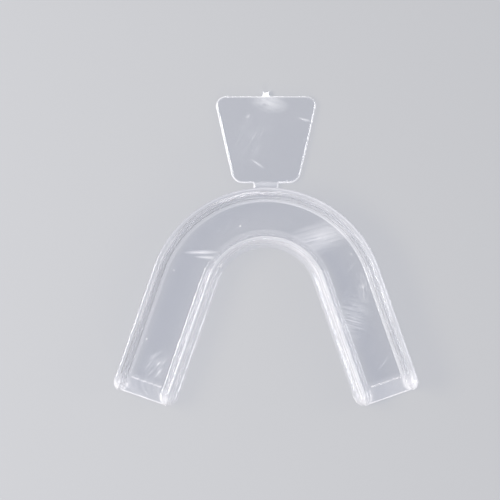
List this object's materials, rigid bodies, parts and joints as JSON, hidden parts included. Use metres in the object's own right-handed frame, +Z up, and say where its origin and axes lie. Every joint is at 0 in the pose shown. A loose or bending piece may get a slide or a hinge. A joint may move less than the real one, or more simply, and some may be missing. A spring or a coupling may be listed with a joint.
{
  "type": "mouth tray",
  "caption": "U-shaped clear soft mouth tray with an upright outer and inner wall, thin arm ends and a trapezoid pull tab on a short bending neck.",
  "frame": {"origin": "centre of the bounding box in X and Y, on the flat underside in Z", "axes": "+Z up out of the open channel, +Y from the arm ends towards the pull tab, +X across the arch"},
  "size_m": [0.066, 0.0684, 0.01],
  "materials": {
    "clear_eva": "clear soft ethylene-vinyl acetate, glossy from a polished mould",
    "torn_eva": "the same plastic, whitened and rough where the gate was torn off"
  },
  "bodies": {
    "tray": {"plate_front": "clear_eva", "plate_left": "clear_eva", "plate_right": "clear_eva", "heel_left": "clear_eva", "heel_right": "clear_eva", "outer_wall_front": "clear_eva", "outer_wall_left": "clear_eva", "outer_wall_right": "clear_eva", "inner_wall_front": "clear_eva", "inner_wall_left": "clear_eva", "inner_wall_right": "clear_eva", "tab_neck": "clear_eva"},
    "tab": {"pull_tab": "clear_eva", "gate_stub": "torn_eva"}
  },
  "joints": [
    {"name": "tab_bend", "type": "hinge", "parent": "tray", "child": "tab", "pos_m": [0, 0.01331, 0.00075], "axis": [1, 0, 0], "range_deg": [0, 75], "stiffness_Nm_per_rad": 0.005, "deforming": ["tab_neck"]}
  ]
}
